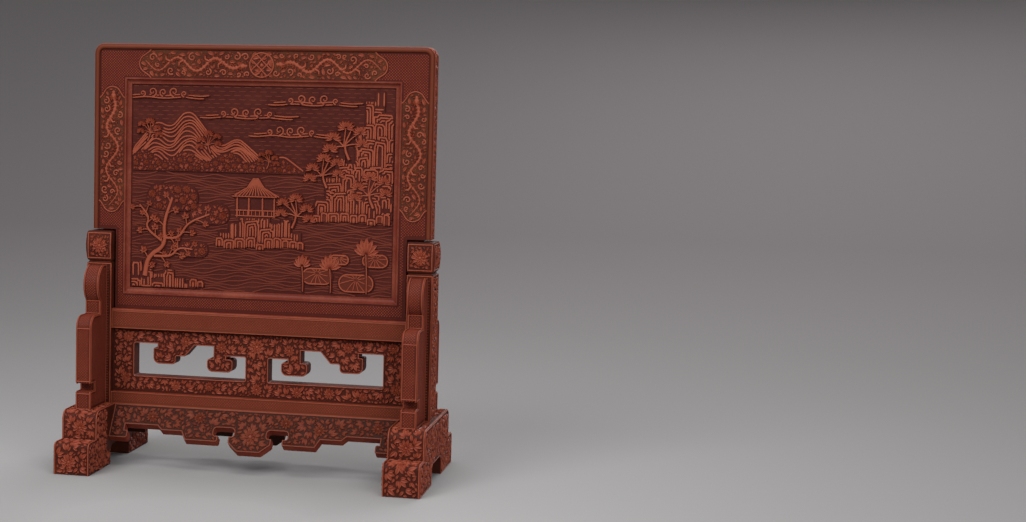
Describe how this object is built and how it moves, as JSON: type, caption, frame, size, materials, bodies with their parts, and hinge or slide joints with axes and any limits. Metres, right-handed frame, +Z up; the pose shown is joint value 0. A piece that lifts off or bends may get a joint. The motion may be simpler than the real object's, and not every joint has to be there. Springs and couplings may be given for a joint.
{
  "type": "table screen",
  "caption": "Carved lacquer table screen: a framed two-sided panel that slides down into grooved posts on an openwork stand with stepped feet and slanted aprons.",
  "frame": {"origin": "on the table under the middle of the stand, at the bottom of the feet", "axes": "+Z up, along the lift of the panel; front faces -Y; +X is the viewer's right"},
  "size_m": [0.4638, 0.2456, 0.54],
  "materials": {
    "carved_red_lacquer": "carved cinnabar lacquer, satin",
    "smooth_red_lacquer": "smooth cinnabar lacquer, satin",
    "gilt_lacquer": "worn gilt ground with dark lacquer marks",
    "core_wood": "bare softwood"
  },
  "bodies": {
    "stand": {"left_foot": "carved_red_lacquer", "right_foot": "carved_red_lacquer", "left_post": "carved_red_lacquer", "right_post": "carved_red_lacquer", "front_left_spandrel": "carved_red_lacquer", "front_right_spandrel": "carved_red_lacquer", "rear_left_spandrel": "carved_red_lacquer", "rear_right_spandrel": "carved_red_lacquer", "seat_rail": "carved_red_lacquer", "lower_rail": "carved_red_lacquer", "openwork_board": "carved_red_lacquer", "front_apron": "carved_red_lacquer", "rear_apron": "carved_red_lacquer", "rail_pegs": "core_wood", "foot_pegs": "core_wood", "spandrel_dowels": "core_wood"},
    "screen": {"frame_left_stile": "carved_red_lacquer", "frame_right_stile": "carved_red_lacquer", "frame_top_rail": "carved_red_lacquer", "frame_bottom_rail": "carved_red_lacquer", "frame_corner_keys": "core_wood", "frame_tenon_pegs": "core_wood", "core_board": "core_wood", "picture_board": "carved_red_lacquer", "back_board": "gilt_lacquer", "front_bead_top": "smooth_red_lacquer", "front_bead_bottom": "smooth_red_lacquer", "front_bead_left": "smooth_red_lacquer", "front_bead_right": "smooth_red_lacquer", "rear_bead_top": "smooth_red_lacquer", "rear_bead_bottom": "smooth_red_lacquer", "rear_bead_left": "smooth_red_lacquer", "rear_bead_right": "smooth_red_lacquer"}
  },
  "joints": [
    {"name": "panel_lift", "type": "slide", "parent": "stand", "child": "screen", "axis": [0, 0, 1], "range_m": [0, 0.1]}
  ]
}
